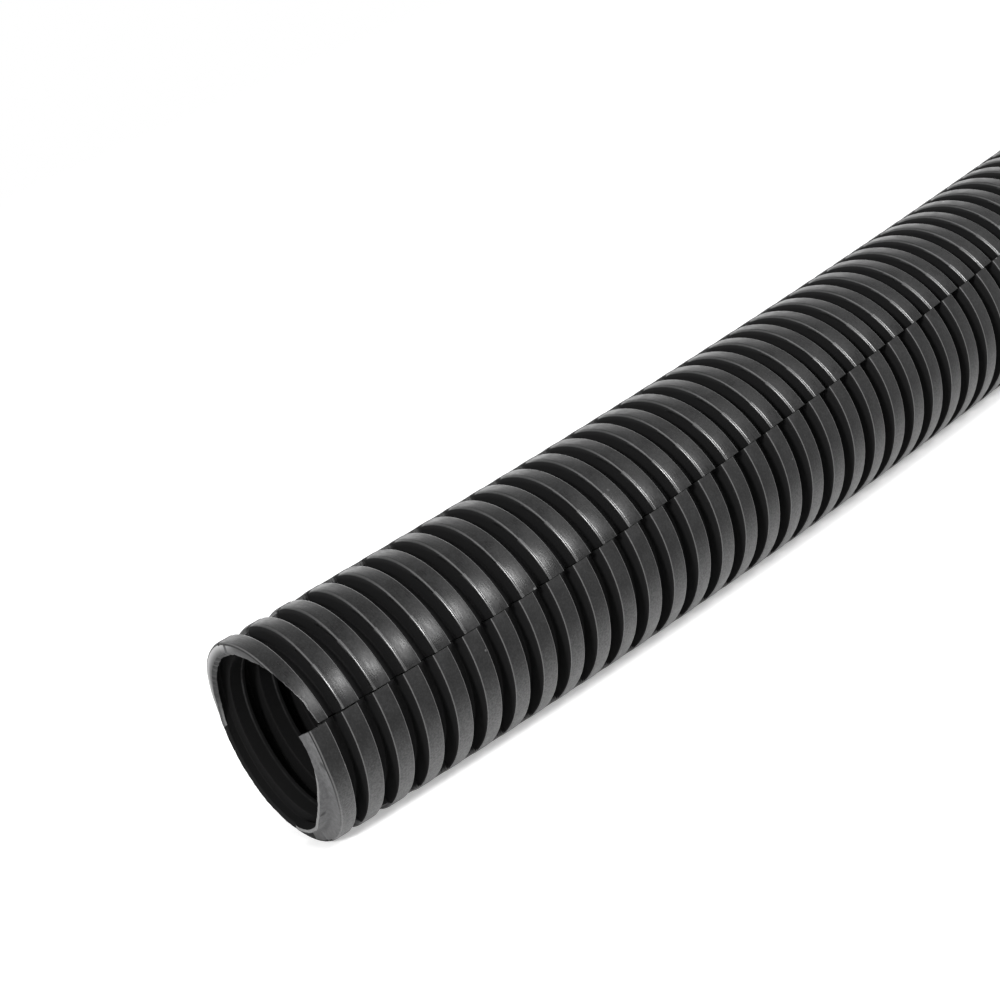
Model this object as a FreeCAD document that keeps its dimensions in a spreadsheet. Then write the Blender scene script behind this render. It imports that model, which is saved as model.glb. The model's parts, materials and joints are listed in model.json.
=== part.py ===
"""Split corrugated conduit: one length of black plastic loom tube, cut square at both ends.

The tube is one piece with a thin wall of even thickness. Flat-topped ribs and narrower grooves
follow each other along it, and the inside has the same waves. A knife slit runs from end to end,
so that a wire can be laid in from the side. The length lies on a level floor and keeps a little of
the bend that it had on its coil: the bend is sharpest at the near mouth and fades out along the
tube. It has twisted slightly too, so the slit climbs from the side towards the top.

The ribs are stiff, so each one stays round and square to its own stretch of the centre line. The
floors of the grooves between them take up the bend and the twist.

Units are millimetres and degrees. The floor is Z = 0, and +X runs from the near mouth to the far
end. The origin is at the bottom centre of the part.
"""

import FreeCAD, Part, Sketcher

import math
import os

NODE = "corrugated_conduit"
UP = FreeCAD.Vector(0, 0, 1)
ALONG = FreeCAD.Vector(1, 0, 0)

# Driving dimensions: alias, value and meaning
DIMENSIONS = [
    ("length", 300.0, "length of the piece, along its centre line"),
    ("outer_diameter", 28.5, "over the ribs"),
    ("bore_diameter", 23.2, "clear bore, inside the grooves"),
    ("wall", 0.45, "wall thickness"),
    ("pitch", 4.7, "one rib and one groove"),
    ("rib_width", 2.5, "flat top of a rib"),
    ("side_run", 0.25, "length that a rib's steep side takes along the tube"),
    ("mouth_lip", 0.6, "groove that the cut leaves in front of the first rib"),
    ("far_lip", 0.25, "least groove that the cut leaves behind the last rib"),
    ("bend_radius", 350.0, "radius of the centre line at the near mouth"),
    ("bend_length", 252.0, "length along which the bend fades out"),
    ("slit_gap", 0.2, "width of the slit, at the ribs' tops"),
    ("slit_angle", 169.0, "place of the slit at the near mouth, from the left side over the top"),
    ("slit_climb", 42.0, "angle through which the slit climbs along the piece"),
    ("climb_power", 1.6, "how the climb gathers along the piece, where 1 is even"),
]


def make_sheet(doc):
    """Puts the driving dimensions in a spreadsheet, with one alias for each."""
    sheet = doc.addObject("Spreadsheet::Sheet", "Dimensions")
    for row, (alias, value, meaning) in enumerate(DIMENSIONS, start=1):
        sheet.set(f"A{row}", alias)
        sheet.set(f"B{row}", str(value))
        sheet.set(f"C{row}", meaning)
        sheet.setAlias(f"B{row}", alias)
    doc.recompute()
    return sheet


def section_corners(sheet):
    """First guess at the corners of a rib's wall, which the sketch's constraints then settle."""
    crest = sheet.outer_diameter / 2
    floor = sheet.bore_diameter / 2
    top = sheet.rib_width / 2
    foot = top + sheet.side_run
    wall = sheet.wall
    outside = [(-foot, floor + wall), (-top, crest), (top, crest), (foot, floor + wall)]
    inside = [(foot - wall, floor), (top - wall, crest - wall), (wall - top, crest - wall), (wall - foot, floor)]
    return [FreeCAD.Vector(x, y, 0) for x, y in outside + inside]


def draw_section(doc, sheet):
    """Sketch of a rib's wall: X along the tube from the rib's middle, Y out from the centre line.

    Lines 0 to 2 are the outside's front, top and back, and lines 4 to 6 the inside's back, top and
    front. Lines 3 and 7 close the section where the groove floors join it.
    """
    sketch = doc.addObject("Sketcher::SketchObject", "RibSection")
    corners = section_corners(sheet)
    for i, corner in enumerate(corners):
        sketch.addGeometry(Part.LineSegment(corner, corners[(i + 1) % len(corners)]), False)
    start, end, centre_line, middle_line, root = 1, 2, -1, -2, (-1, 1)
    for i in range(len(corners)):
        sketch.addConstraint(Sketcher.Constraint("Coincident", i, end, (i + 1) % len(corners), start))
    for left, right in (((0, start), (2, end)), ((1, start), (1, end)), ((4, start), (6, end)), ((5, start), (5, end))):
        sketch.addConstraint(Sketcher.Constraint("Symmetric", *left, *right, middle_line))

    sized = [
        ("top_width", Sketcher.Constraint("DistanceX", 1, start, 1, end, corners[2].x - corners[1].x), "rib_width"),
        ("side_run", Sketcher.Constraint("DistanceX", 0, start, 0, end, corners[1].x - corners[0].x), "side_run"),
        ("crest", Sketcher.Constraint("DistanceY", *root, 1, start, corners[1].y), "outer_diameter / 2"),
        ("floor", Sketcher.Constraint("DistanceY", *root, 4, start, corners[4].y), "bore_diameter / 2"),
        ("foot_wall", Sketcher.Constraint("DistanceY", 6, end, 0, start, sheet.wall), "wall"),
        ("top_wall", Sketcher.Constraint("DistanceY", 5, end, 1, start, sheet.wall), "wall"),
        ("side_wall_low", Sketcher.Constraint("Distance", 6, end, 0, sheet.wall), "wall"),
        ("side_wall_high", Sketcher.Constraint("Distance", 5, end, 0, sheet.wall), "wall"),
    ]
    for name, constraint, cells in sized:
        index = sketch.addConstraint(constraint)
        sketch.renameConstraint(index, name)
        words = [f"Dimensions.{word}" if word[0].isalpha() else word for word in cells.split()]
        sketch.setExpression(f"Constraints.{name}", " ".join(words))
    doc.recompute()
    return sketch


class CentreLine:
    """The level line that the conduit lies along: a bend that fades out into a straight."""

    STEP = 0.5

    def __init__(self, sheet):
        self.length = sheet.length
        self.curvature = 1 / sheet.bend_radius
        self.fade = sheet.bend_length
        steps = math.ceil(self.length / self.STEP)
        self.step = self.length / steps
        self.points = [FreeCAD.Vector(0, 0, 0)]
        for i in range(steps):
            ahead = self.direction((i + 0.5) * self.step)
            self.points.append(self.points[-1] + ahead * self.step)

    def heading(self, along):
        """Angle turned to the left over that distance, in radians."""
        bent = min(along, self.fade)
        return self.curvature * (bent - bent**2 / (2 * self.fade))

    def direction(self, along):
        """Unit vector along the tube."""
        angle = self.heading(along)
        return FreeCAD.Vector(math.cos(angle), math.sin(angle), 0)

    def point(self, along):
        """Point of the line at that distance from the near mouth."""
        i = min(int(along / self.step), len(self.points) - 2)
        return self.points[i] + self.direction(along) * (along - i * self.step)


class Station:
    """A place along the tube: its axes there, and the edges of the slit.

    A section is drawn with X along the tube and Y out from the centre line. The station turns it
    into the half-plane through either edge of the slit, or sweeps it from one edge to the other.
    """

    def __init__(self, sheet, line, along):
        self.centre = line.point(along)
        self.ahead = line.direction(along)
        climb = sheet.slit_climb * (along / line.length) ** sheet.climb_power
        half_gap = math.degrees(math.asin(sheet.slit_gap / sheet.outer_diameter))
        self.edges = [sheet.slit_angle - climb + half_gap, sheet.slit_angle - climb - half_gap + 360]
        self.sweep = self.edges[1] - self.edges[0]

    def half_plane(self, angle):
        """Placement of a section at that angle round the tube, from the left side over the top."""
        axes = FreeCAD.Rotation(self.ahead, UP.cross(self.ahead), UP, "XYZ")
        return FreeCAD.Placement(self.centre, axes * FreeCAD.Rotation(ALONG, angle))

    def placed(self, shape, angle):
        """Copy of a section's shape in the half-plane at that angle."""
        copy = shape.copy()
        copy.Placement = self.half_plane(angle)
        return copy

    def swept(self, edge):
        """Surface that a section's edge sweeps from one edge of the slit to the other."""
        return self.placed(edge, self.edges[0]).revolve(self.centre, self.ahead, self.sweep)

    def arc(self, corner):
        """Arc that a section's corner sweeps from one edge of the slit to the other."""
        middle = self.edges[0] + self.sweep / 2
        return Part.Arc(*[self.half_plane(a).multVec(corner) for a in (self.edges[0], middle, self.edges[1])]).toShape()


def rib_faces(section, station):
    """Skins of one rib and its two flat sides in the slit."""
    skins = [section.Geometry[i].toShape() for i in (0, 1, 2, 4, 5, 6)]
    faces = [station.swept(skin) for skin in skins]
    outline = Part.Wire([line.toShape() for line in section.Geometry])
    return faces + [station.placed(Part.Face(outline), angle) for angle in station.edges]


def floor_faces(back, front):
    """Skins of the wall between two rings, and its sides in the slit.

    A ring is a station with the section's outside and inside corner there.
    """
    outer, inner = [(back[0].arc(back[i]), front[0].arc(front[i])) for i in (1, 2)]
    faces = [Part.makeRuledSurface(*outer), Part.makeRuledSurface(*inner)]
    for end in (0, -1):
        outside, inside = [
            Part.makeLine(*[arc.Vertexes[end].Point for arc in pair]) for pair in (outer, inner)
        ]
        faces.append(Part.makeRuledSurface(outside, inside))
    return faces


def cut_face(ring):
    """Flat cut through the wall at one end of the piece."""
    station, outside, inside = ring
    outer, inner = station.arc(outside), station.arc(inside)
    sides = [Part.makeLine(outer.Vertexes[end].Point, inner.Vertexes[end].Point) for end in (0, -1)]
    return Part.Face(Part.Wire(Part.sortEdges([outer, inner] + sides)[0]))


def make_wall(sheet, section, line):
    """The whole wall as a solid, rib by rib from the near mouth to the far cut."""
    lines = section.Geometry
    front_corners = lines[0].StartPoint, lines[6].EndPoint
    back_corners = lines[2].EndPoint, lines[4].StartPoint
    foot = back_corners[0].x
    cut_corners = [FreeCAD.Vector(0, corner.y, 0) for corner in front_corners]

    ring = (Station(sheet, line, 0.0), *cut_corners)
    faces = [cut_face(ring)]
    middle = sheet.mouth_lip + foot
    while middle + foot + sheet.far_lip <= line.length:
        station = Station(sheet, line, middle)
        faces += floor_faces(ring, (station, *front_corners))
        faces += rib_faces(section, station)
        ring = (station, *back_corners)
        middle += sheet.pitch
    far_cut = (Station(sheet, line, line.length), *cut_corners)
    faces += floor_faces(ring, far_cut) + [cut_face(far_cut)]

    shell = Part.makeShell(faces)
    shell.sewShape()
    solid = Part.makeSolid(Part.Shell(shell.Faces))
    if solid.Volume < 0:
        solid.reverse()
    return solid


def rest_placement(sheet, line, solid):
    """Lays the line between the ends along X and the ribs on the floor, centred on the origin."""
    ends = line.point(line.length) - line.point(0)
    turn = FreeCAD.Rotation(UP, -math.degrees(math.atan2(ends.y, ends.x)))
    turned = solid.copy()
    turned.Placement = FreeCAD.Placement(FreeCAD.Vector(0, 0, 0), turn)
    middle = turned.optimalBoundingBox(False, False).Center
    return FreeCAD.Placement(FreeCAD.Vector(-middle.x, -middle.y, sheet.outer_diameter / 2), turn)


def main():
    doc = FreeCAD.newDocument("split_corrugated_conduit")
    sheet = make_sheet(doc)
    section = draw_section(doc, sheet)
    line = CentreLine(sheet)
    conduit = doc.addObject("Part::Feature", "Conduit")
    conduit.Label = NODE
    solid = make_wall(sheet, section, line)
    conduit.Shape = solid
    conduit.Placement = rest_placement(sheet, line, solid)
    doc.recompute()

    for item in doc.Objects:
        if "Invalid" in item.State or "Error" in item.State:
            raise RuntimeError(f"{item.Label} failed: {item.State}")
    if conduit.Shape.isNull() or not conduit.Shape.isValid():
        raise RuntimeError(f"{conduit.Label} has no valid shape")

    os.makedirs("parts", exist_ok=True)
    conduit.Shape.exportStep(f"parts/{conduit.Label}.step")
    box = conduit.Shape.optimalBoundingBox(False, False)
    print(conduit.Label, "faces", len(conduit.Shape.Faces), "volume", round(conduit.Shape.Volume, 1))
    print("box", [round(v, 3) for v in (box.XMin, box.YMin, box.ZMin, box.XMax, box.YMax, box.ZMax)])


main()
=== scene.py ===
"""Looks of a split corrugated conduit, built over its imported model.

The conduit is one length of black plastic loom tube: flat-topped ribs and narrow grooves, a knife
slit from end to end, a rough hand cut at the near mouth and a square one at the far end. It lies
on a pale studio floor under soft lamps. Sizes are in millimetres until a mesh is made.
"""

import json
import logging
import math
from collections.abc import Callable
from dataclasses import dataclass, field
from enum import Enum
from functools import reduce

import bpy
import numpy as np
from mathutils import Matrix, Vector

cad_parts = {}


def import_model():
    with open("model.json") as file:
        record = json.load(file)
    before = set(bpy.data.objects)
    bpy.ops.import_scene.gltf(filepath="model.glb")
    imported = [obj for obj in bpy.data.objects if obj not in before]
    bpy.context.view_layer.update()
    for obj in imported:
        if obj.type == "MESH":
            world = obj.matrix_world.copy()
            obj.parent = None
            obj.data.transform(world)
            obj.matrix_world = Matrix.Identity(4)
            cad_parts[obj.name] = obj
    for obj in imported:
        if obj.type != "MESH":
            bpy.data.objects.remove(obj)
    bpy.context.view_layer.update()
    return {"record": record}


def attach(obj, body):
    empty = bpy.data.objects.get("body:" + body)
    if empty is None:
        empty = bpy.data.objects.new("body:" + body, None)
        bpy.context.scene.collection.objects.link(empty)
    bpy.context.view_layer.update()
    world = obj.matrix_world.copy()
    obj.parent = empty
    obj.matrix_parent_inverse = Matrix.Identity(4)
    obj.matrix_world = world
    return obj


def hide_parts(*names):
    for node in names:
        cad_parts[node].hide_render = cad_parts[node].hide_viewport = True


log = logging.getLogger("conduit")

Colour = tuple[float, float, float, float]
Span = tuple[float, float]
Array = np.ndarray
Material = bpy.types.Material
Socket = bpy.types.NodeSocket

MM = 0.001
NODE = "corrugated_conduit"
PLASTIC_IOR = 1.5
PITCH = 4.7
PARTING_ANGLES = (442.0, 262.0)

# Places on a rib's section: the foot of its front wall, its front corner and its middle
FOOT, CORNER, MIDDLE = 1, 2, 3

# Faces of the outer skin along one wave, counted from a rib's front foot
WAVE_FACES = 12
FRONT_CORNER = (2, 3)
RIB_TOP = (3, 4, 5, 6, 7)

# The rise of the inner skin is marked this much lower, so that paint can tell it from the outer one
INNER_DROP = 2.0


class Skin(Enum):
    """The two faces of the wall."""

    OUTSIDE = "outside"
    INSIDE = "inside"


class Finish(Enum):
    """Material slots of the tube's mesh."""

    PLASTIC = 0
    EDGE = 1
    # Painted shade: this slot takes a duller, darker copy of the plastic, for the grooves, the bore and
    # shadowed faces at the mouth.
    DEEP = 2
    CUT = 3


class Mark(Enum):
    """Values that the mesh carries for the finish."""

    ALONG = "wall_along"
    AROUND = "wall_around"
    RISE = "wall_rise"
    EDGE = "wall_edge"


def smooth_step(value: Array, low: float, high: float) -> Array:
    """Eases from 0 at low to 1 at high.

    Args:
        value: numbers to ease.
        low: where the ease begins.
        high: where it ends.

    Returns:
        The eased numbers, from 0 to 1.
    """
    t = np.clip((value - low) / (high - low), 0.0, 1.0)
    return t * t * (3 - 2 * t)


@dataclass
class CentreLine:
    """The level line through the tube: a bend at the near mouth that fades out into a straight."""

    length: float = 300.0
    bend_radius: float = 350.0
    bend_length: float = 252.0
    height: float = 14.25
    spare: float = 2.0
    steps: int = 1216
    turn: float = 0.0
    start: Array = field(default_factory=lambda: np.zeros(2))

    def heading(self, along: Array) -> Array:
        """Direction of the line in radians, before it is laid in the frame, at each distance."""
        bent = np.clip(along, None, self.bend_length)
        return (bent - bent**2 / (2 * self.bend_length)) / self.bend_radius

    def lay(self, mount: dict, along: float) -> None:
        """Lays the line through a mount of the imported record.

        Args:
            mount: the near end's mount, whose axis points out of the mouth.
            along: how far from the cut the mount is.
        """
        axis = mount["axis"]
        self.turn = math.atan2(-axis[1], -axis[0]) - float(self.heading(np.array(along)))
        here = self.trail(np.array([along]))[0]
        self.start = np.array(mount["pos_m"][:2]) / MM - here

    def trail(self, along: Array) -> Array:
        """Points of the line in plan, from the start.

        Args:
            along: distances from the near cut.

        Returns:
            One plan point for each distance.
        """
        grid = np.linspace(-self.spare, self.length + self.spare, self.steps + 1)
        middle = (grid[1:] + grid[:-1]) / 2
        angle = self.heading(np.clip(middle, 0, None)) + self.turn
        plan = []
        for share in (np.cos(angle), np.sin(angle)):
            run = np.concatenate([[0.0], np.cumsum(share * np.diff(grid))])
            plan.append(np.interp(along, grid, run - np.interp(0.0, grid, run)))
        return np.stack(plan, -1) + self.start

    def wrap(self, along: Array, angle: Array, radius: Array) -> Array:
        """Points round the line.

        Args:
            along: distance of each point along the line.
            angle: degrees from the left side over the top.
            radius: distance from the line.

        Returns:
            The points in the frame, in millimetres.
        """
        out = self.outward(along, angle)
        plan = self.trail(along)
        middle = np.concatenate([plan, np.full(plan.shape[:-1] + (1,), self.height)], -1)
        return middle + out * radius[..., None]

    def outward(self, along: Array, angle: Array) -> Array:
        """Unit vectors away from the line, at angles in degrees from the left side over the top."""
        ahead, turn = self.heading(np.clip(along, 0, None)) + self.turn, np.radians(angle)
        return np.stack([-np.sin(ahead) * np.cos(turn), np.cos(ahead) * np.cos(turn), np.sin(turn)], -1)

    def ahead(self, along: Array) -> Array:
        """Unit vectors along the line."""
        angle = self.heading(np.clip(along, 0, None)) + self.turn
        return np.stack([np.cos(angle), np.sin(angle), np.zeros_like(angle)], -1)


@dataclass
class Slit:
    """The knife slit, and how the tube has warped beside it.

    The slit climbs from the side towards the top. The wall below it has crept towards the near
    mouth, evenly round the ring, so the ribs meet with a step across it.
    """

    angle: float = 169.0
    climb: float = 42.0
    power: float = 1.6
    gap: float = 0.07
    mouth_gap: float = 0.4
    gap_reach: float = 8.0
    first_creep: float = 0.353
    creep_rate: float = 0.01243
    creep_from: float = 2.1
    creep_holds_to: float = 165.0
    creep_ends_before: float = 4.0

    def place(self, along: Array, length: float) -> Array:
        """Angle of the slit's middle at each distance, in degrees."""
        return self.angle - self.climb * (np.clip(along, 0, None) / length) ** self.power

    def half_gap(self, along: Array, radius: float) -> Array:
        """Half of the gap at each distance, in degrees: it stands a little open at the mouth."""
        gap = self.gap + (self.mouth_gap - self.gap) * np.exp(-np.clip(along, 0, None) / self.gap_reach)
        return np.degrees(np.arcsin(gap / 2 / radius))

    def creep(self, along: Array, share: Array, length: float) -> Array:
        """How far each point has moved along the tube.

        Args:
            along: distance of the point from the near cut.
            share: 0 at the slit's lower edge, to 1 at its upper edge.
            length: length of the tube.

        Returns:
            The moves, in millimetres towards the far end.
        """
        fade = 1 - smooth_step(along, self.creep_holds_to, length - self.creep_ends_before)
        below = self.first_creep + self.creep_rate * np.clip(along - self.creep_from, 0, None)
        return (self.first_creep - below * (1 - share)) * fade


@dataclass
class Parting:
    """The two lines where the mould's halves met.

    Each rib dips a little beside the line, and past it a low web runs lengthwise and fills the
    grooves nearly to the ribs' tops. It is lower near the mouth.
    """

    angles: tuple[float, ...] = PARTING_ANGLES
    dip: float = 0.12
    dip_reach: float = 3.0
    width: float = 15.0
    side: float = 0.8
    edge: float = 0.2
    top_reach: float = 0.5
    web: float = 14.2
    web_from: float = 2.4
    mouth_drop: float = 0.75
    drop_ends: Span = (5.0, 17.0)

    def stops(self) -> Array:
        """Angles that a ring has points at, so that the web and the dip keep their edges."""
        offsets = (self.dip_reach, self.edge, -self.side, self.side - self.width, -self.width)
        return np.array([angle + offset for angle in self.angles for offset in offsets])

    def fill(self, around: Array) -> Array:
        """How much of the web there is.

        Args:
            around: angle of each point.

        Returns:
            The share of the web at each point, from 0 to 1.
        """
        filled = np.zeros_like(around)
        for angle in self.angles:
            past = angle - around
            rise = np.clip((past + self.edge) / self.side, 0, 1)
            fall = np.clip((self.width - past) / self.side, 0, 1)
            filled = np.maximum(filled, np.minimum(rise, fall))
        return filled

    def shape(self, radius: Array, around: Array, along: Array, crest: float) -> Array:
        """Radius of the outer skin with the webs and dips.

        Args:
            radius: the wave's own radius at each point.
            around: angle of each point.
            along: distance of each point from the near cut.
            crest: radius of the ribs' tops.

        Returns:
            The changed radii.
        """
        top = self.web - self.mouth_drop * (1 - smooth_step(along, *self.drop_ends))
        raised = radius + np.maximum(top - radius, 0) * self.fill(around) * (along > self.web_from)
        for angle in self.angles:
            past = angle - around
            sinking = (past + self.dip_reach) / (self.dip_reach - self.edge)
            near = np.minimum(sinking, (self.side - past) / self.side)
            raised = raised - self.dip * np.clip(near, 0, 1) * (radius > crest - self.top_reach)
        return raised


@dataclass
class MouthCut:
    """The rough hand cut at the near mouth, which has pushed the first rib back on its far side.

    A place on the first rib's wall is told along its section: 0 is the square cut's plane, and then
    come FOOT, CORNER and MIDDLE. Below 0 the groove's floor runs on, a millimetre for each unit.
    Angles are in degrees from the left side over the top.
    """

    cut: tuple[Span, ...] = (
        (169, 0.5), (173, 0.52), (182, 0.62), (192, 0.44), (202, 0.05), (214, -0.5), (224, -0.85),
        (234, -1), (244, -0.85), (254, -0.6), (262, -0.75), (268, -0.7), (276, -0.62), (282, -0.55),
        (286, -0.2), (289, 0.7), (292, 1.6), (296, 2.05), (340, 2.13), (360, 2.07), (365.5, 2.1),
        (368, 1.96), (375, 1.78), (383, 1.56), (392, 1.4), (404, 1.28), (425, 1.32), (444, 1.3),
        (451, 1.42), (467, 1.45), (475, 1.55), (481, 1.7), (487, 1.85), (492, 2), (497.5, 2.16),
        (503, 2.31), (508.6, 2.44), (514, 2.6), (517.6, 2.76), (518.8, 2.6), (521.4, 2.66), (526, 2.7),
        (529, 2.86),
    )
    push: tuple[Span, ...] = (
        (169, 0), (190, 0), (200, 0.18), (212, 0.36), (224, 0.65), (238, 0.85), (253, 1.1), (270, 1.2),
        (290, 1.15), (303, 1), (320, 0.88), (338, 0.87), (352, 0.93), (366, 1.03), (374, 1.15), (380, 1.08),
        (386, 0.94), (392, 0.84), (398, 0.75), (404, 0.62), (412, 0.52), (430, 0.48), (440, 0.28),
        (448, 0.08), (452, 0), (500, 0), (529, 0.25),
    )
    give: tuple[float, ...] = (1.0, 1.0, 1.0, 1.0, 1.0, 1.0, 0.85, 0.62, 0.6, 0.58, 0.15, 0.08)
    roughness: float = 0.025
    tears: tuple[tuple[float, float, float], ...] = ((1.0, 1.13, 0.4), (0.7, 2.31, 1.1), (0.5, 0.47, 0.0))
    flare: Span = (-0.8, 0.6)
    flare_from: float = 1.3
    flare_run: float = 0.6

    def place(self, angle: Array) -> Array:
        """Place of the cut on the section, at each angle."""
        tear = sum(size * np.sin(angle * rate + start) for size, rate, start in self.tears)
        return np.interp(angle, *zip(*self.cut)) + self.roughness * tear

    def flared(self, place: Array) -> Array:
        """How far the lip's normals lean out at each place on the section, from 0 to 1."""
        return np.clip((self.flare_from - place) / self.flare_run, 0, 1)

    def pushed(self, ring: int, angle: Array) -> Array:
        """How far each point of a ring is pushed towards the far end. Only the first rib's rings give."""
        give = self.give[ring] if ring < len(self.give) else 0.0
        return np.interp(angle, *zip(*self.push)) * give


@dataclass
class WallWave:
    """One wave of the wall in a half-plane, with rounded corners: stations from groove to groove."""

    crest: float = 14.248
    floor: float = 12.05
    wall: float = 0.45
    rib_width: float = 2.5
    side_run: float = 0.25
    mouth_lip: float = 0.6
    crest_round: float = 0.36
    soft_round: float = 0.8
    back_round: float = 0.24
    foot_round: float = 0.3
    ridge_round: float = 0.2
    crown: float = 0.07
    softens: Span = (250.0, 300.0)
    hardens: Span = (462.0, 500.0)

    def half(self, skin: Skin, crest_round: float) -> tuple[Array, Array, Array]:
        """Front half of a rib, from its foot to just before its middle.

        Args:
            skin: which face of the wall.
            crest_round: radius of the outer corner.

        Returns:
            Station points (distance from the rib's middle, radius), their normals in the plane,
            and their places on the section as the mouth's cut tells them.
        """
        top, foot = self.rib_width / 2, self.rib_width / 2 + self.side_run
        outer, ends, middled = skin is Skin.OUTSIDE, (0.0, 1.0), (0.0, 0.5, 1.0)
        deep = 0.0 if outer else self.wall
        low, high = np.array([deep - foot, self.floor - deep]), np.array([deep - top, self.crest - deep])
        low_round, high_round = (self.foot_round, crest_round) if outer else (self.ridge_round,) * 2
        low_steps, high_steps = (ends, middled) if outer else (middled, ends)
        side = (high - low) / np.linalg.norm(high - low)
        along, flat = np.array([1.0, 0.0]), np.array([0.0, 1.0])
        steep = np.array([-side[1], side[0]])
        tangent = math.tan(math.acos(side[0]) / 2)
        points, normals, places = [], [], []
        rise, run = high[1] - low[1], -high[0]
        corners = (
            (FOOT, low, -low_round, low_steps, flat, steep, self.mouth_lip + deep, rise),
            (CORNER, high, high_round, high_steps, steep, flat, rise, run),
        )
        for place, corner, bend, steps, first, last, ahead, behind in corners:
            for step in steps:
                back = abs(bend) * tangent * (2 * step - 1)
                places.append(place + back / (ahead if step < 0.5 else behind))
                normal = first * (1 - step) + last * step
                normal = normal / np.linalg.norm(normal)
                points.append(corner + along * bend * tangent - flat * bend + normal * bend)
                if place == CORNER:
                    normal = normal - along * (self.crown * step if outer else 0.0)
                    normal = normal / np.linalg.norm(normal)
                normals.append(normal)
        return np.array(points), np.array(normals), np.array(places)

    def stations(self, skin: Skin, front_round: float) -> tuple[Array, Array]:
        """One rib's stations, from its front foot to its back foot.

        Args:
            skin: which face of the wall.
            front_round: radius of the front corner.

        Returns:
            The stations' points and their normals, in the half-plane.
        """
        radius = self.crest if skin is Skin.OUTSIDE else self.crest - self.wall
        middles, mirror = (np.array([[0.0, radius]]), np.array([[0.0, 1.0]])), np.array([-1.0, 1.0])
        parts = zip(self.half(skin, front_round), middles, self.half(skin, self.back_round))
        return tuple(np.concatenate([front, middle, back[::-1] * mirror]) for front, middle, back in parts)

    def softness(self, around: Array) -> Array:
        """How soft the ribs' front corners are at each angle: soft over the top and far side."""
        return smooth_step(around, *self.softens) * (1 - smooth_step(around, *self.hardens))


@dataclass
class RingGrid:
    """The points of one skin, ring by ring, with how far round the ring each one is."""

    shares: list[Array] = field(default_factory=list)
    starts: list[int] = field(default_factory=list)

    def ring(self, i: int) -> tuple[Array, Array]:
        """Point numbers of a ring, and how far round it each one is."""
        return self.starts[i] + np.arange(len(self.shares[i])), self.shares[i]


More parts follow.
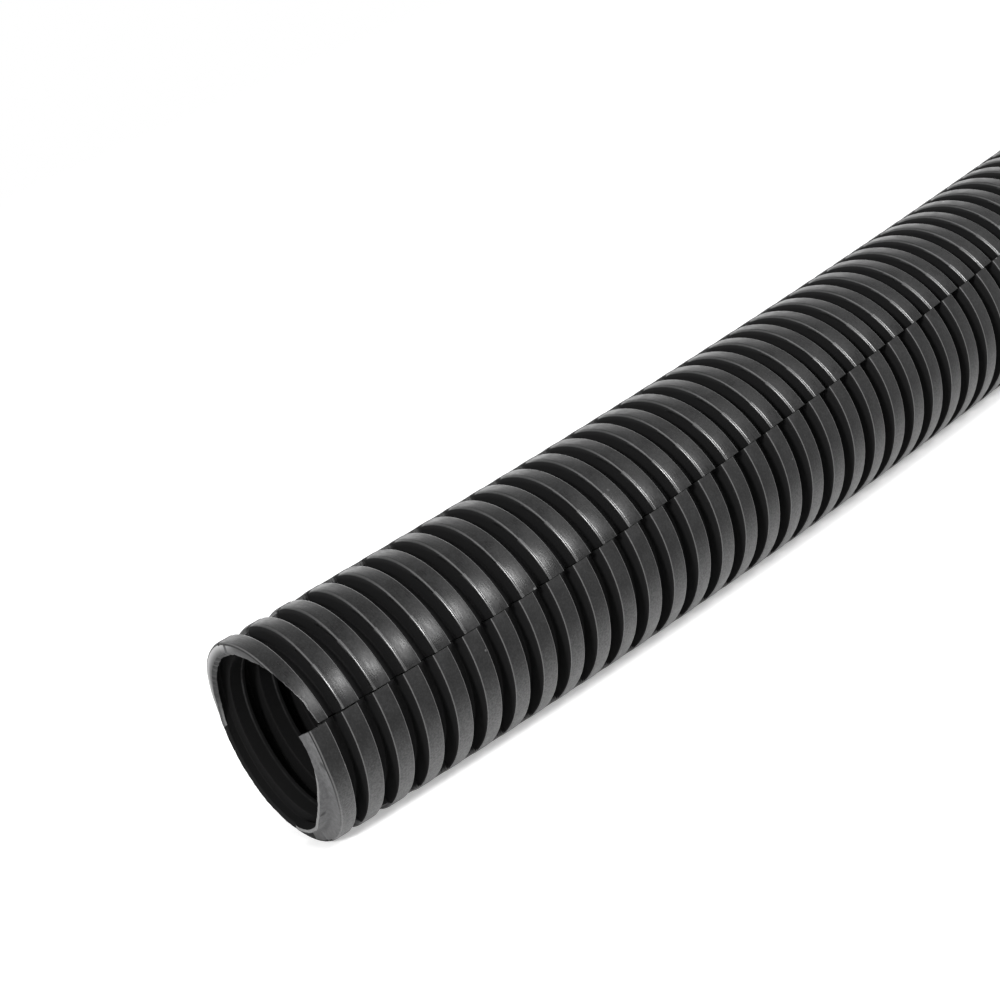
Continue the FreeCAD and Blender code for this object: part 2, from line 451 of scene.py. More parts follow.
@dataclass
class Conduit:
    """The whole tube: one wall with its waves, slit and two cuts.

    The first rib's rings are closer spaced, to follow the rough cut. The ribs' front corners are
    rubbed bright above an angle that wanders a little from rib to rib.
    """

    line: CentreLine = field(default_factory=CentreLine)
    slit: Slit = field(default_factory=Slit)
    parting: Parting = field(default_factory=Parting)
    mouth: MouthCut = field(default_factory=MouthCut)
    wave: WallWave = field(default_factory=WallWave)
    pitch: float = PITCH
    far_lip: float = 0.25
    trim: float = 0.004
    fine_rings: int = 7
    fine_parts: int = 3
    inside_parts: int = 40
    seen_parts: int = 24
    hidden_parts: int = 20
    seen_share: float = 0.3
    floor_run: float = 3.0
    sliver: float = 0.012
    stop_clear: float = 0.0015
    stop_rounds: int = 3
    slope_step: float = 1.0
    cut_rings: int = 3
    # Painted shade at the mouth: these first-rib rings and the near cut face take the shaded finish over
    # these angles.
    shaded_rings: tuple[int, ...] = (2, 3, 4)
    wall_shaded_from: float = 275.0
    corner_shaded_from: float = 256.0
    cut_shade_from: float = 284.0
    shade_ends_at: float = 366.0
    sharp_above: float = 499.0
    satin_above: float = 482.0
    wander: float = 3.5
    wander_rate: float = 1.9
    wander_start: float = 0.6

    def __post_init__(self) -> None:
        """Readies the lists that the mesh is gathered in."""
        self.points: list[Array] = []
        self.normals: list[Array] = []
        self.marks: dict[Mark, list[Array]] = {mark: [] for mark in Mark}
        self.faces: list[tuple[int, ...]] = []
        self.soft_faces: list[bool] = []
        self.finishes: list[int] = []
        self.around = np.zeros(0)
        self.count = 0

    def rib_middles(self) -> Array:
        """Finds the ribs.

        Returns:
            Distance of each rib's middle from the near cut.
        """
        foot = self.wave.rib_width / 2 + self.wave.side_run
        middle, found = self.wave.mouth_lip + foot, []
        while middle + foot + self.far_lip <= self.line.length:
            found.append(middle)
            middle += self.pitch
        return np.array(found)

    def round_shares(self, skin: Skin) -> Array:
        """Places round a ring, from the slit's lower edge to its upper one, closest where it is seen.

        Args:
            skin: which face of the wall.

        Returns:
            The places, from 0 to 1.
        """
        if skin is Skin.INSIDE:
            return np.linspace(0, 1, self.inside_parts + 1)
        hidden = self.seen_share, 1 - self.seen_share
        near = np.linspace(0, hidden[0], self.seen_parts, endpoint=False)
        far = np.linspace(*hidden, self.hidden_parts, endpoint=False)
        return np.concatenate([near, far, np.linspace(hidden[1], 1.0, self.seen_parts + 1)])

    def profile(self, skin: Skin, front_round: float) -> Array:
        """Stations of the whole tube on one skin.

        Args:
            skin: which face of the wall.
            front_round: radius of the ribs' front corners.

        Returns:
            For each station its distance along, its radius, and its normal in the half-plane.
        """
        points, normals = self.wave.stations(skin, front_round)
        radius = self.wave.floor if skin is Skin.OUTSIDE else self.wave.floor - self.wave.wall
        flat = np.array([0.0, 1.0])
        along, radii, tilts = [0.0], [radius], [flat]
        middles = self.rib_middles()
        for i, middle in enumerate(middles):
            along += list(points[:, 0] + middle)
            radii += list(points[:, 1])
            tilts += list(normals)
            last = i + 1 == len(middles)
            along.append(self.line.length - self.trim if last else middle + self.pitch / 2)
            radii.append(radius)
            tilts.append(flat)
        return np.column_stack([along, radii, np.array(tilts)])

    def angles(self, base: Array, share: Array) -> tuple[Array, Array]:
        """Where points lie once the slit's creep has moved them.

        Args:
            base: distance of each point from the near cut, as moulded.
            share: its place between the slit's edges, from 0 to 1.

        Returns:
            The moved distances, and the angles in degrees.
        """
        length, half_gap = self.line.length, self.slit.half_gap(base, self.wave.crest)
        moved = base + self.slit.creep(base, share, length)
        start = self.slit.place(moved, length) + half_gap
        end = self.slit.place(base, length) + 360 - half_gap
        return moved, start + (end - start) * share

    def with_stops(self, share: Array, along: float) -> Array:
        """Adds the parting webs' edges to a ring's places.

        Args:
            share: the ring's places.
            along: its distance from the near cut.

        Returns:
            The places in order, with the edges' own among them.
        """
        stops = self.parting.stops()
        found = (stops - self.slit.place(np.array(along), self.line.length)) / 360
        for _ in range(self.stop_rounds):
            found = found + (stops - self.angles(np.full_like(found, along), found)[1]) / 360
        gaps = np.abs(share[:, None] - found[None]).min(1)
        kept = share[(gaps > self.stop_clear) | (share == 0) | (share == 1)]
        return np.sort(np.concatenate([kept, found]))

    def add_skin(self, skin: Skin) -> RingGrid:
        """Adds the points of one skin, ring by ring.

        Args:
            skin: which face of the wall.

        Returns:
            The grid of its point numbers.
        """
        sharp, soft = (self.profile(skin, r) for r in (self.wave.crest_round, self.wave.soft_round))
        coarse = self.round_shares(skin)
        parts = np.arange(self.fine_parts) / self.fine_parts
        fine = np.append((coarse[:-1, None] + np.diff(coarse)[:, None] * parts).ravel(), 1.0)
        grid, outer = RingGrid(), skin is Skin.OUTSIDE
        low, high = sharp[:, 1].min(), sharp[:, 1].max()
        reach = self.fine_rings
        wall_places = self.wave.half(skin, self.wave.crest_round)[2]
        places = np.concatenate([[-self.floor_run, 0.0], wall_places, [MIDDLE]])
        front = np.vstack([sharp[:1], sharp[:reach]])
        front[0, 0] = -self.floor_run
        for i in range(len(sharp)):
            share = fine if i < reach else coarse
            if outer:
                share = self.with_stops(share, sharp[i, 0])
            around = self.angles(np.full_like(share, sharp[i, 0]), share)[1]
            if i < reach:
                place = np.maximum(places[i + 1], self.mouth.place(around) + i * self.sliver)
                place = place if i else self.mouth.place(around)
                rows = np.stack([np.interp(place, places, values) for values in front.T], -1)
                flare = self.mouth.flared(place)[:, None] * outer
                rows[:, 2:] += (np.array(self.mouth.flare) - rows[:, 2:]) * flare
            else:
                rows = sharp[i] + (soft[i] - sharp[i]) * self.wave.softness(around)[:, None]
            base, radius, tilt = rows[:, 0] + self.mouth.pushed(i, around), rows[:, 1], rows[:, 2:]
            moved, angle = self.angles(base, share)
            slope = np.zeros_like(radius)
            if outer:
                turns = (-self.slope_step / 2, 0.0, self.slope_step / 2)
                shapes = [self.parting.shape(radius, angle + turn, base, high) for turn in turns]
                before, shaped, after = shapes
                slope = (after - before) / (math.radians(self.slope_step) * radius)
                webbed = ((shaped > radius) * self.parting.fill(angle))[:, None]
                tilt = tilt * (1 - webbed) + np.array([0.0, 1.0]) * webbed
                radius = shaped
            rise = (radius - low) / (high - low)
            point = self.line.wrap(moved, angle, radius)
            normal = self.line.outward(moved, angle) * tilt[:, 1:] + self.line.ahead(moved) * tilt[:, :1]
            normal -= self.line.outward(moved, angle + 90) * slope[:, None]
            normal /= np.linalg.norm(normal, axis=1, keepdims=True)
            grid.starts.append(self.count)
            grid.shares.append(share)
            self.count += len(share)
            self.points.append(point)
            self.normals.append(normal if outer else -normal)
            self.marks[Mark.ALONG].append(base)
            self.marks[Mark.AROUND].append(angle)
            self.marks[Mark.RISE].append(rise if outer else rise - INNER_DROP)
            self.marks[Mark.EDGE].append(2 * np.abs(tilt[:, 0] * tilt[:, 1]))
        return grid

    def zip_rings(self, ring_a: tuple[Array, Array], ring_b: tuple[Array, Array], soft: bool,
                  flip: bool, finish: Callable[[float], Finish]) -> None:
        """Joins two rings with faces, whatever their counts.

        Args:
            ring_a: point numbers of the first ring, and their places along it.
            ring_b: the same for the second ring.
            soft: whether the faces are shaded smooth.
            flip: whether they face the other way.
            finish: gives a face's finish from its angle.
        """
        (first, share_a), (second, share_b) = ring_a, ring_b
        i = j = 0
        past_end, same = 2.0, 1e-9
        while i + 1 < len(first) or j + 1 < len(second):
            ahead_a = share_a[i + 1] if i + 1 < len(first) else past_end
            ahead_b = share_b[j + 1] if j + 1 < len(second) else past_end
            if abs(ahead_a - ahead_b) < same:
                face = (first[i], second[j], second[j + 1], first[i + 1])
                i, j = i + 1, j + 1
            elif ahead_a < ahead_b:
                face = (first[i], second[j], first[i + 1])
                i += 1
            else:
                face = (first[i], second[j], second[j + 1])
                j += 1
            face = tuple(int(n) for n in face)
            self.faces.append(face[::-1] if flip else face)
            self.soft_faces.append(soft)
            self.finishes.append(finish(self.around[face[0]]).value)

    def finish_of(self, skin: Skin, i: int, around: float) -> Finish:
        """Which finish a face between two rings has.

        Args:
            skin: which face of the wall.
            i: the face's first ring.
            around: the face's angle.

        Returns:
            The finish: rubbed front corners, handled tops, and the shaded finish, painted shade, for the
                grooves and bore.
        """
        # The whole inner skin takes painted shade.
        if skin is Skin.INSIDE:
            return Finish.DEEP
        shaded_from = self.wall_shaded_from if i < self.cut_rings else self.corner_shaded_from
        # Painted shade on the first rib's shaded rings from these angles on.
        if i in self.shaded_rings and shaded_from < around < self.shade_ends_at:
            return Finish.DEEP
        if i < self.cut_rings:
            return Finish.CUT
        face, turn = (i - 1) % WAVE_FACES, self.wandered((i - 1) // WAVE_FACES)
        if face in FRONT_CORNER and around > self.sharp_above + turn:
            return Finish.EDGE
        satin = face == FRONT_CORNER[0] and around > self.satin_above + turn
        handled = face in RIB_TOP or satin or i == self.cut_rings or self.webbed(i, around)
        # Faces off the rib tops, in the grooves, take painted shade.
        return Finish.PLASTIC if handled else Finish.DEEP

    def wandered(self, rib: int) -> float:
        """How far the rubbed corner of a rib starts past its usual angle, in degrees."""
        return self.wander * math.sin(self.wander_rate * rib + self.wander_start)

    def webbed(self, i: int, around: float) -> bool:
        """Whether a face past the first rib lies on a parting web."""
        return i > WAVE_FACES and bool(self.parting.fill(np.array(around)) > 0.5)

    def join(self, grid: RingGrid, skin: Skin) -> None:
        """Adds the faces of one skin, ring by ring."""
        for i in range(len(grid.starts) - 1):
            self.zip_rings(grid.ring(i), grid.ring(i + 1), True, skin is Skin.OUTSIDE,
                           lambda around, i=i: self.finish_of(skin, i, around))

    def close(self, outside: RingGrid, inside: RingGrid) -> None:
        """Adds the slit's two sides and the two cut faces.

        Args:
            outside: the outer skin's points.
            inside: the inner skin's points.
        """
        for end in (0, -1):
            place = np.arange(len(outside.starts), dtype=float)
            inner, outer = (np.array([grid.ring(i)[0][end] for i in range(len(place))])
                            for grid in (inside, outside))
            self.zip_rings((inner, place), (outer, place), False, end == -1, lambda around: Finish.PLASTIC)
        for i, flip in ((0, True), (len(outside.starts) - 1, False)):
            self.zip_rings(inside.ring(i), outside.ring(i), False, flip,
                           lambda around, i=i: self.cut_finish(i, around))

    def cut_finish(self, i: int, around: float) -> Finish:
        """Which finish a cut face has: the near one takes painted shade where the knife went through a rib's
        top.
        """
        # Painted shade on the near cut face's lower left.
        dark = i == 0 and self.cut_shade_from < around < self.shade_ends_at
        return Finish.DEEP if dark else Finish.CUT

    def build(self) -> bpy.types.Object:
        """Builds the tube's mesh.

        Returns:
            The object, at the frame's origin.
        """
        grids = {skin: self.add_skin(skin) for skin in Skin}
        self.around = np.concatenate(self.marks[Mark.AROUND])
        for skin, grid in grids.items():
            self.join(grid, skin)
        self.close(grids[Skin.OUTSIDE], grids[Skin.INSIDE])
        mesh = bpy.data.meshes.new("conduit_wall")
        points = np.concatenate(self.points) * MM
        mesh.from_pydata(points.tolist(), [], self.faces)
        mesh.update()
        for mark, values in self.marks.items():
            layer = mesh.attributes.new(mark.value, "FLOAT", "POINT")
            layer.data.foreach_set("value", np.concatenate(values).astype(np.float32))
        self.shade(mesh)
        piece = bpy.data.objects.new("conduit", mesh)
        bpy.context.scene.collection.objects.link(piece)
        triangles = sum(len(face) - 2 for face in self.faces)
        log.info("conduit: %d points, %d triangles", len(points), triangles)
        return piece

    def shade(self, mesh: bpy.types.Mesh) -> None:
        """Gives the skins the wall's own normals, and the cuts flat ones.

        Args:
            mesh: the tube's mesh.
        """
        mesh.polygons.foreach_set("use_smooth", np.array(self.soft_faces, bool))
        mesh.polygons.foreach_set("material_index", np.array(self.finishes, np.int32))
        corners = np.zeros(len(mesh.loops), np.int32)
        mesh.loops.foreach_get("vertex_index", corners)
        sizes = np.zeros(len(mesh.polygons), np.int32)
        mesh.polygons.foreach_get("loop_total", sizes)
        flat = np.zeros(len(mesh.polygons) * 3, np.float32)
        mesh.polygons.foreach_get("normal", flat)
        soft = np.repeat(np.array(self.soft_faces, bool), sizes)
        normals = np.repeat(flat.reshape(-1, 3), sizes, 0)
        normals[soft] = np.concatenate(self.normals)[corners][soft]
        mesh.normals_split_custom_set(normals.tolist())


@dataclass(frozen=True)
class Grain:
    """Noise of one size: its scale, its detail and how much the detail counts."""

    scale: float
    detail: float
    roughness: float = 0.5


@dataclass
class Recipe:
    """A node tree in the making, with short ways to add nodes."""

    tree: bpy.types.NodeTree

    def node(self, kind: str, inputs: dict | None = None, **settings: object) -> bpy.types.Node:
        """Adds a node.

        Args:
            kind: Blender's name for the node's type.
            inputs: socket name or number to a value or another socket.
            settings: the node's own properties.

        Returns:
            The node.
        """
        made = self.tree.nodes.new(kind)
        for name, value in settings.items():
            setattr(made, name, value)
        for name, value in (inputs or {}).items():
            socket = made.inputs[name]
            if isinstance(value, Socket):
                self.tree.links.new(value, socket)
            else:
                socket.default_value = value
        return made

    def math(self, operation: str, *values: object) -> Socket:
        """Adds a sum and gives its result."""
        return self.node("ShaderNodeMath", dict(enumerate(values)), operation=operation).outputs[0]

    def times(self, first: object, second: object) -> Socket:
        """Multiplies two values."""
        return self.math("MULTIPLY", first, second)

    def blend(self, *parts: tuple[Socket, float]) -> Socket:
        """Adds values up, each times its weight."""
        weighed = [self.times(value, weight) for value, weight in parts]
        return reduce(lambda total, value: self.math("ADD", total, value), weighed)

    def ramp(self, value: Socket, low: float, high: float, start: float = 0.0, end: float = 1.0) -> Socket:
        """Maps a value smoothly from low..high to start..end."""
        inputs = {"Value": value, "From Min": low, "From Max": high, "To Min": start, "To Max": end}
        return self.node("ShaderNodeMapRange", inputs, interpolation_type="SMOOTHSTEP").outputs["Result"]

    def mix(self, share: object, under: object, over: object) -> Socket:
        """Lays one colour over another, by a share from 0 to 1."""
        inputs = {"Factor": share, "A": under, "B": over}
        return self.node("ShaderNodeMix", inputs, data_type="RGBA").outputs["Result"]

    def noise(self, vector: Socket, grain: Grain) -> Socket:
        """Adds noise of one size, from 0 to 1."""
        inputs = {"Scale": grain.scale, "Detail": grain.detail, "Roughness": grain.roughness}
        return self.node("ShaderNodeTexNoise", {"Vector": vector} | inputs).outputs["Fac"]

    def mark(self, mark: Mark) -> Socket:
        """Reads one of the values that the mesh carries."""
        return self.node("ShaderNodeAttribute", attribute_name=mark.value).outputs["Fac"]

    def spot(self) -> Socket:
        """Place on the object itself, in metres."""
        return self.node("ShaderNodeTexCoord").outputs["Object"]

    def apart(self, value: Socket, centre: float) -> Socket:
        """How far a value is from a centre, either way."""
        return self.math("ABSOLUTE", self.math("SUBTRACT", value, centre))

    def seen(self) -> Socket:
        """Picks out the rays that show a surface to the eye.

        Returns:
            1 for such a ray, and 0 for one that only carries light.
        """
        path = self.node("ShaderNodeLightPath")
        seen = self.math("MAXIMUM", path.outputs["Is Camera Ray"], path.outputs["Is Glossy Ray"])
        return self.math("MAXIMUM", seen, path.outputs["Is Transmission Ray"])

    def plastic(self, colour: Socket, roughness: object, specular: float, height: Socket,
                relief: float, depth: float) -> None:
        """Ends the tree with a shader for plastic.

        Args:
            colour: base colour.
            roughness: number or socket.
            specular: specular level.
            height: height of the relief, from 0 to 1.
            relief: strength of the relief.
            depth: its depth, in metres.
        """
        bump = self.node("ShaderNodeBump", {"Height": height, "Strength": relief, "Distance": depth})
        skin = self.node("ShaderNodeBsdfPrincipled", {
            "Base Color": colour, "Roughness": roughness, "Normal": bump.outputs["Normal"],
            "IOR": PLASTIC_IOR, "Specular IOR Level": specular,
        })
        self.node("ShaderNodeOutputMaterial", {"Surface": skin.outputs["BSDF"]})


class Paint:
    """What each finish shares: a name, and nodes that its dress method fills in."""

    name: str

    def make(self) -> Material:
        """Makes the material.

        Returns:
            The material, with its node tree.
        """
        material = bpy.data.materials.new(self.name)
        material.use_nodes = True
        material.node_tree.nodes.clear()
        self.dress(Recipe(material.node_tree))
        return material


@dataclass(frozen=True)
class BlackPlastic(Paint):
    """Satin black moulded plastic: mottled, streaked round the ribs, with rare crumbs of dust, and
    lighter underneath where the floor's reflection is painted.

    Corners are paler where they are rubbed, which is partly wear and partly a painted highlight. The
    parting lines get painted shade, and the rise of the wall takes it to a deeper black in the grooves as
    painted shade. A span is a ramp's start and end.
    """

    name: str = "black_plastic"
    # deep is painted shade: the black that the grooves and the parting lines are taken to.
    deep: Colour = (0.0035, 0.0035, 0.0036, 1.0)
    dark: Colour = (0.004, 0.004, 0.0041, 1.0)
    light: Colour = (0.015, 0.015, 0.0153, 1.0)
    # This pale colour is real dust in the crumbs, and also a painted highlight on rubbed corners and a
    # painted reflection of the floor underneath.
    dust_and_sheen: Colour = (0.25, 0.25, 0.25, 1.0)
    specular: float = 0.2
    roughness: float = 0.31
    gloss_range: Span = (-0.06, 0.07)
    gloss_tone: Span = (0.35, 0.65)
    dulled: tuple[float, float, float] = (492.0, 466.0, 0.12)
    mottle: Grain = Grain(3600.0, 3.0, 0.65)
    blotch: Grain = Grain(520.0, 3.0)
    fine: Grain = Grain(5200.0, 2.0)
    streak: Grain = Grain(1.0, 3.0)
    streak_scale: Span = (5.0, 0.16)
    body_shares: Span = (0.65, 0.35)
    body_tone: Span = (0.38, 0.72)
    # Rubbed corners are painted paler: partly wear, partly a painted highlight on the ribs' top corners.
    rubbing_and_sheen: float = 0.45
    rubbed_sheen_rise: Span = (0.9, 1.0)
    rubbed_sheen_edge: Span = (0.3, 0.9)
    crumb_scale: float = 560.0
    crumb_size: Span = (0.15, 0.06)
    crumb_rarity: Span = (0.84, 0.9)
    crumb_share: float = 0.5
    # Painted reflection: between these angles the underside is lightened towards the pale colour, standing in
    # for light from the bright floor.
    underglow_from: Span = (186.0, 238.0)
    underglow_to: Span = (274.0, 252.0)
    underglow_tone: Span = (0.3, 0.7)
    underglow_share: Span = (0.3, 0.6)
    parting: tuple[float, ...] = PARTING_ANGLES
    # Painted shade along the parting lines, where the ribs dip.
    parting_shade_width: Span = (0.9, 0.3)
    parting_shade_share: float = 0.9
    # Painted shade: below this rise the colour goes to deep.
    groove_shade_rise: Span = (0.7, 0.98)
    relief: float = 0.28
    relief_depth: float = 0.00005
    relief_shares: tuple[float, float, float] = (0.5, 0.25, 0.9)

    def dress(self, r: Recipe) -> None:
        """Fills in the material's nodes.

        Args:
            r: the recipe of its tree.
        """
        spot, around = r.spot(), r.mark(Mark.AROUND)
        mottle, blotch, fine = (r.noise(spot, grain) for grain in (self.mottle, self.blotch, self.fine))
        x, y = self.streak_scale
        spread = {"X": r.times(r.mark(Mark.ALONG), x), "Y": r.times(around, y)}
        streaks = r.noise(r.node("ShaderNodeCombineXYZ", spread).outputs[0], self.streak)

        tone = r.ramp(r.blend(*zip((mottle, blotch), self.body_shares)), *self.body_tone)
        colour = self.wear_and_painted_light(r, r.mix(tone, self.dark, self.light), self.dust_and_underglow(r, spot, around, mottle))
        uneven = r.blend((blotch, 0.5), (streaks, 0.5))
        gloss = r.ramp(uneven, *self.gloss_tone, *(self.roughness + shift for shift in self.gloss_range))
        low, high, extra = self.dulled
        gloss = r.math("ADD", gloss, r.ramp(around, low, high, 0.0, extra))
        height = r.blend(*zip((mottle, fine, streaks), self.relief_shares))
        r.plastic(colour, gloss, self.specular, height, self.relief, self.relief_depth)

    def dust_and_underglow(self, r: Recipe, spot: Socket, around: Socket, mottle: Socket) -> Socket:
        """Finds where dust lies in rare crumbs, and where the underside is lightened as a painted reflection
        of the floor.

        Args:
            r: the tree's recipe.
            spot: place on the object.
            around: angle round the tube.
            mottle: the finer noise.

        Returns:
            How much dust and painted floor reflection there is, from 0 to 1.
        """
        cells = r.node("ShaderNodeTexVoronoi", {"Vector": spot, "Scale": self.crumb_scale, "Randomness": 1.0})
        crumb = r.ramp(cells.outputs["Distance"], *self.crumb_size)
        rare = r.ramp(cells.outputs["Color"], *self.crumb_rarity)
        # Painted reflection of the floor on the underside, broken up by the mottle.
        below = r.times(r.ramp(around, *self.underglow_from), r.ramp(around, *self.underglow_to))
        underglow = r.times(below, r.ramp(mottle, *self.underglow_tone, *self.underglow_share))
        return r.math("MAXIMUM", r.times(r.times(crumb, rare), self.crumb_share), underglow)

    def wear_and_painted_light(self, r: Recipe, body: Socket, dust_and_underglow: Socket) -> Socket:
        """Adds rubbed edges with a painted highlight, dust with the painted floor reflection, and painted
        shade on the parting lines and in the grooves, to the body's colour.

        Args:
            r: the tree's recipe.
            body: the body's colour.
            dust_and_underglow: how much dust and painted floor reflection there is.

        Returns:
            The final colour.
        """
        rise, around = r.mark(Mark.RISE), r.mark(Mark.AROUND)
        # Paler rubbed corners at the rib tops, partly a painted highlight.
        rubbed = r.times(r.ramp(rise, *self.rubbed_sheen_rise), r.ramp(r.mark(Mark.EDGE), *self.rubbed_sheen_edge))
        paler = r.mix(r.times(rubbed, self.rubbing_and_sheen), body, self.dust_and_sheen)
        with_dust_and_glow = r.mix(dust_and_underglow, paler, self.dust_and_sheen)
        # Painted shade on the parting lines.
        lines = [r.ramp(r.apart(around, angle), *self.parting_shade_width) for angle in self.parting]
        parting_shade = r.times(r.math("MAXIMUM", *lines), self.parting_shade_share)
        # Painted shade: deep below the rib tops and on the parting lines.
        return r.mix(r.ramp(rise, *self.groove_shade_rise), self.deep, r.mix(parting_shade, with_dust_and_glow, self.deep))


@dataclass(frozen=True)
class ShadedPlastic(Paint):
    """The same plastic in the grooves and the bore, made duller and darker as painted shade, with faint
    painted highlight rings inside.
    """

    name: str = "shaded_plastic"
    # Painted shade: this copy of the plastic is duller than the skin, with dark for the grooves and the
    # darker bore, standing in for the shade in these hollows.
    dark: Colour = (0.0105, 0.0105, 0.0107, 1.0)
    bore: Colour = (0.0078, 0.0078, 0.0079, 1.0)
    # ring is a painted highlight: pale arcs standing in for light caught near the bore's ridges.
    ring: Colour = (0.065, 0.065, 0.0655, 1.0)
    specular: float = 0.05
    roughness: float = 0.65
    pitch: float = PITCH
    bore_rise: Span = (-0.4, -0.6)
    glint_ring_at: float = 5.16
    glint_ring_width: float = 0.22
    glint_ring_rise: Span = (-1.8, -1.95)
    glint_ring_around: Span = (340.0, 400.0)
    glint_ring_below: float = 0.2
    cloud: Grain = Grain(900.0, 3.0)
    cloud_tone: Span = (0.2, 0.7)
    cloud_share: float = 0.4
    relief: float = 0.4
    relief_depth: float = 0.00004

    def dress(self, r: Recipe) -> None:
        """Fills in the material's nodes.

        Args:
            r: the recipe of its tree.
        """
        rise, cloud = r.mark(Mark.RISE), r.noise(r.spot(), self.cloud)
        # Painted highlight: a faint pale ring once a wave, on the bore.
        past = r.math("SUBTRACT", r.mark(Mark.ALONG), self.glint_ring_at)
        turn = r.math("WRAP", past, self.pitch / 2, -self.pitch / 2)
        near = r.ramp(r.math("ABSOLUTE", turn), self.glint_ring_width, 0.0)
        near = r.times(near, r.ramp(rise, *self.glint_ring_rise))
        near = r.times(near, r.ramp(r.mark(Mark.AROUND), *self.glint_ring_around, self.glint_ring_below, 1.0))
        near = r.times(near, r.ramp(cloud, *self.cloud_tone, self.cloud_share, 1.0))
        # Painted shade: the bore is taken darker than the grooves.
        plain = r.mix(r.ramp(rise, *self.bore_rise), self.dark, self.bore)
        colour = r.mix(near, plain, self.ring)
        r.plastic(colour, self.roughness, self.specular, cloud, self.relief, self.relief_depth)


@dataclass(frozen=True)
class CutPlastic(Paint):
    """Plastic laid bare and scuffed by the knife at the mouth and the far end, paler than the skin; on the
    mouth's open front wall it is partly painted light.
    """

    name: str = "cut_plastic"
    dark: Colour = (0.05, 0.05, 0.051, 1.0)
    light: Colour = (0.11, 0.11, 0.112, 1.0)
    # bared is laid-bare plastic with a painted highlight: the pale upper part of the mouth's far side, where
    # light falls.
    bared_and_lit: Colour = (0.5, 0.5, 0.5, 1.0)
    # lip is a painted highlight along the cut's inner edge.
    lip: Colour = (0.16, 0.16, 0.16, 1.0)
    # This dark colour is real stains where the stain noise lies, and painted shade in the wedge, on the far
    # side's inner edge and on the seam.
    smudge_and_shade: Colour = (0.02, 0.02, 0.0204, 1.0)
    specular: float = 0.3
    roughness: float = 0.5
    scuff: Grain = Grain(1400.0, 4.0, 0.7)
    scuff_tone: Span = (0.2, 0.8)
    stain: Grain = Grain(420.0, 1.0)
    stain_tone: Span = (0.7, 0.78)
    lip_glint_rise: Span = (-0.05, -0.4)
    # Painted shade: a dark wedge on the mouth's lower side, where the rib's lower corner faces the floor.
    shade_wedge_around: Span = (252.0, 276.0)
    shade_wedge_rise: Span = (0.2, 0.8)
    # The far side of the mouth: painted shade on its inner edge, and the pale laid-bare band over its upper
    # part.
    far_from: Span = (364.0, 390.0)
    far_to: Span = (466.0, 440.0)
    bared_and_lit_rise: Span = (0.3, 1.05)
    # Painted shade on the parting line's dip where it crosses the cut.
    seam_shade_at: float = 451.0
    seam_shade_width: Span = (2.2, 0.9)
    relief: float = 0.5
    relief_depth: float = 0.00006

    def dress(self, r: Recipe) -> None:
        """Fills in the material's nodes.

        Args:
            r: the recipe of its tree.
        """
        spot, around, rise = r.spot(), r.mark(Mark.AROUND), r.mark(Mark.RISE)
        scuff, stain = r.noise(spot, self.scuff), r.noise(spot, self.stain)
        far = r.times(r.ramp(around, *self.far_from), r.ramp(around, *self.far_to))
        shade_wedge = r.times(r.ramp(around, *self.shade_wedge_around), r.ramp(rise, *self.shade_wedge_rise))
        # Laid-bare plastic with a painted highlight over the upper part of the far side.
        rubbed = r.times(far, r.ramp(rise, *self.bared_and_lit_rise))
        seam_shade = r.ramp(r.apart(around, self.seam_shade_at), *self.seam_shade_width)
        colour = r.mix(r.ramp(scuff, *self.scuff_tone), self.dark, self.light)
        # Layers in order: stains, the lip's painted highlight, painted shade in the wedge and on the far
        # side, laid-bare plastic with painted highlight, painted shade on the seam.
        layers = (
            (r.ramp(stain, *self.stain_tone), self.smudge_and_shade), (r.ramp(rise, *self.lip_glint_rise), self.lip),
            (shade_wedge, self.smudge_and_shade), (far, self.smudge_and_shade), (rubbed, self.bared_and_lit), (seam_shade, self.smudge_and_shade),
        )
        for share, over in layers:
            colour = r.mix(share, colour, over)
        r.plastic(colour, self.roughness, self.specular, scuff, self.relief, self.relief_depth)


@dataclass(frozen=True)
class PaleFloor(Paint):
    """White sweep under the tube, which keeps its shadow and shows white to the camera."""

    name: str = "pale_floor"
    colour: Colour = (0.8, 0.8, 0.8, 1.0)
    away: Colour = (0.0, 0.0, 0.0, 1.0)
    lift: float = 0.4
    glow: Span = (0.12, 0.5)
    fade: Span = (0.5, 1.5)

    def dress(self, r: Recipe) -> None:
        """Fills in the material's nodes.

        Args:
            r: the recipe of its tree.
        """
        seen = r.seen()
        far = r.node("ShaderNodeVectorMath", {0: r.spot()}, operation="LENGTH").outputs["Value"]
        colour = r.mix(r.times(r.ramp(far, *self.fade), seen), self.colour, self.away)
        matt = r.node("ShaderNodeBsdfDiffuse", {"Color": colour})
        strength = r.times(seen, r.ramp(far, *self.glow, self.lift, 1.0))
        glow = r.node("ShaderNodeEmission", {"Strength": strength})
        both = r.node("ShaderNodeAddShader", {0: matt.outputs[0], 1: glow.outputs[0]})
        r.node("ShaderNodeOutputMaterial", {"Surface": both.outputs[0]})


@dataclass(frozen=True)
class SoftLamp:
    """A studio lamp that points at the tube: its bearing and height in degrees, and its distance."""

    name: str
    bearing: float
    height: float
    size: Span
    power: float
    distance: float = 1.3
    target: tuple[float, float, float] = (-0.08, 0.0, 0.014)

    def hang(self) -> None:
        """Hangs the lamp."""
        light = bpy.data.lights.new(self.name, "AREA")
        light.shape = "RECTANGLE"
        light.size, light.size_y = self.size
        light.energy = self.power
        lamp = bpy.data.objects.new(self.name, light)
        turn, lift = math.radians(self.bearing), math.radians(self.height)
        away = Vector((math.cos(lift) * math.cos(turn), math.cos(lift) * math.sin(turn), math.sin(lift)))
        lamp.location = Vector(self.target) + away * self.distance
        lamp.rotation_euler = (-away).to_track_quat("-Z", "Y").to_euler()
        bpy.context.scene.collection.objects.link(lamp)


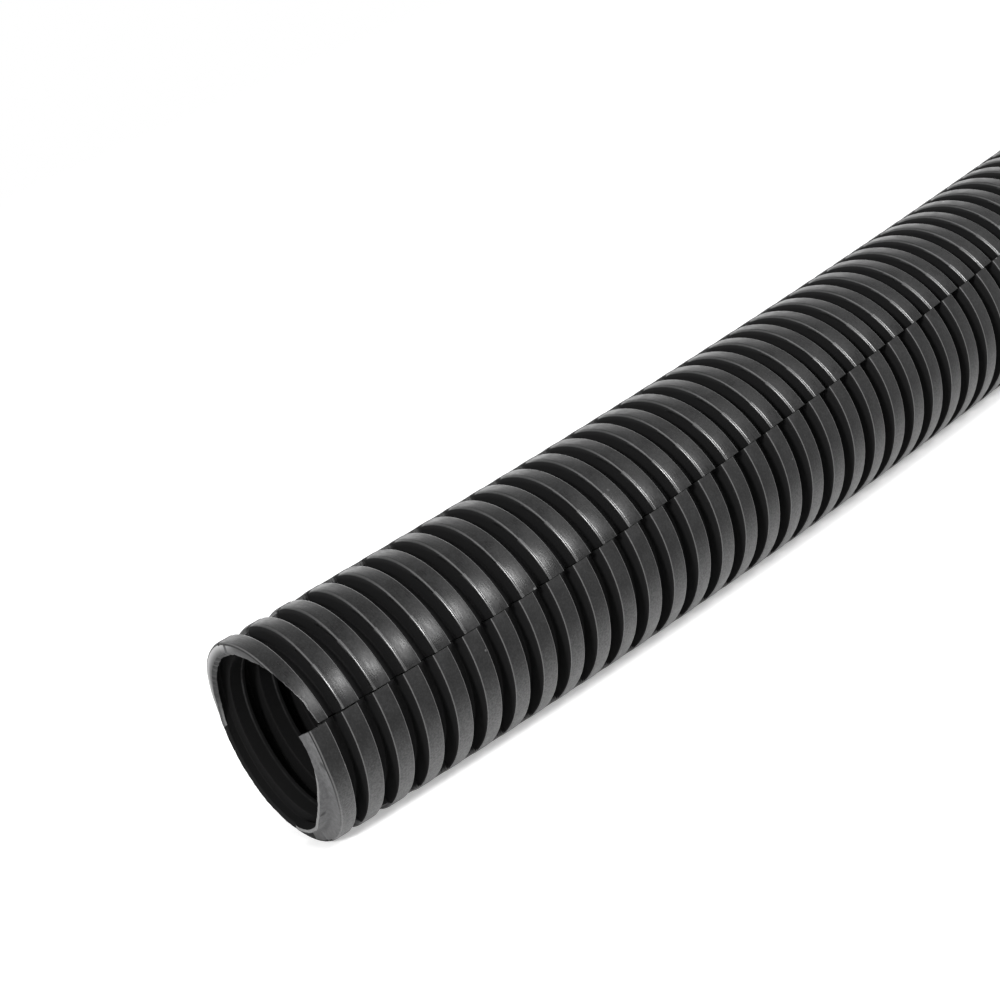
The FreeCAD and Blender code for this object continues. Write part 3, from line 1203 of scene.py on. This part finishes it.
@dataclass
class Studio:
    """Pale floor, soft lamps and a plain world."""

    floor_size: float = 12.0
    floor_drop: float = 0.00002
    white: Colour = (1.0, 1.0, 1.0, 1.0)
    world_light: float = 0.32
    lamps: tuple[SoftLamp, ...] = (
        SoftLamp("left_lamp", 205.0, 28.0, (0.2, 0.26), 13.5),
        SoftLamp("high_lamp", 215.0, 68.0, (0.5, 0.5), 2.5),
        SoftLamp("right_lamp", 285.0, 30.0, (0.3, 0.4), 12.0),
        SoftLamp("side_lamp", 309.0, 40.0, (0.9, 0.7), 3.4),
        SoftLamp("back_lamp", 45.0, 20.0, (1.2, 0.7), 5.2),
    )

    def lay_floor(self) -> None:
        """Lays the floor just below the tube."""
        half = self.floor_size / 2
        mesh = bpy.data.meshes.new("floor")
        corners = [(x * half, y * half, -self.floor_drop) for x, y in ((-1, -1), (1, -1), (1, 1), (-1, 1))]
        mesh.from_pydata(corners, [], [(0, 1, 2, 3)])
        mesh.materials.append(PaleFloor().make())
        floor = bpy.data.objects.new("floor", mesh)
        bpy.context.scene.collection.objects.link(floor)

    def fill_world(self) -> None:
        """Makes a plain world, white where it is seen."""
        world = bpy.data.worlds.new("studio")
        bpy.context.scene.world = world
        world.use_nodes = True
        tree = world.node_tree
        tree.nodes.clear()
        r = Recipe(tree)
        strength = r.ramp(r.seen(), 0.0, 1.0, self.world_light, 1.0)
        glow = r.node("ShaderNodeBackground", {"Color": self.white, "Strength": strength})
        r.node("ShaderNodeOutputWorld", {"Surface": glow.outputs[0]})

    def set_up(self) -> None:
        """Sets up the floor, the world and the lamps."""
        self.lay_floor()
        self.fill_world()
        for lamp in self.lamps:
            lamp.hang()
        log.info("studio: floor and %d lamps", len(self.lamps))


@dataclass(frozen=True)
class Camera:
    """Camera at the photograph's angle, for a square picture."""

    place: tuple[float, float, float] = (-393.296, -324.556, 112.68)
    azimuth: float = 48.037
    pitch: float = 11.271
    roll: float = -23.877
    lens: float = 122.71
    sensor: float = 36.0
    clip: Span = (0.01, 50.0)

    def set_up(self) -> None:
        """Puts the camera in place and makes it the scene's."""
        turn, dip, roll = (math.radians(a) for a in (self.azimuth, self.pitch, self.roll))
        ahead = Vector((math.cos(dip) * math.cos(turn), math.cos(dip) * math.sin(turn), -math.sin(dip)))
        level = Vector((math.sin(turn), -math.cos(turn), 0.0))
        over = level.cross(ahead)
        right = level * math.cos(roll) + over * math.sin(roll)
        up = over * math.cos(roll) - level * math.sin(roll)
        data = bpy.data.cameras.new("camera")
        data.lens, data.sensor_width = self.lens, self.sensor
        data.clip_start, data.clip_end = self.clip
        camera = bpy.data.objects.new("camera", data)
        matrix = Matrix((right, up, -ahead)).transposed().to_4x4()
        matrix.translation = Vector(self.place) * MM
        camera.matrix_world = matrix
        bpy.context.scene.collection.objects.link(camera)
        bpy.context.scene.camera = camera
        log.info("camera: lens %.1f mm", self.lens)


def main() -> None:
    """Builds the conduit, the studio and the camera."""
    logging.basicConfig(level=logging.INFO, format="%(message)s")
    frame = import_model()
    near = next(m for m in frame["record"]["mounts"] if m["name"] == "near_end")
    conduit = Conduit()
    conduit.line.lay(near, conduit.rib_middles()[0])
    piece = conduit.build()
    rubbed_sheen_edge = BlackPlastic(name="rubbed_sheen_edge", specular=0.85, roughness=0.3, rubbing_and_sheen=0.0, relief=0.0,
                               dulled=(513.0, 496.0, 0.32))
    for finish in (BlackPlastic(), rubbed_sheen_edge, ShadedPlastic(), CutPlastic()):
        piece.data.materials.append(finish.make())
    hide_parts(NODE)
    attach(piece, "root")
    Studio().set_up()
    Camera().set_up()
    bpy.context.scene.view_settings.view_transform = "Standard"


if __name__ == "__main__":
    main()
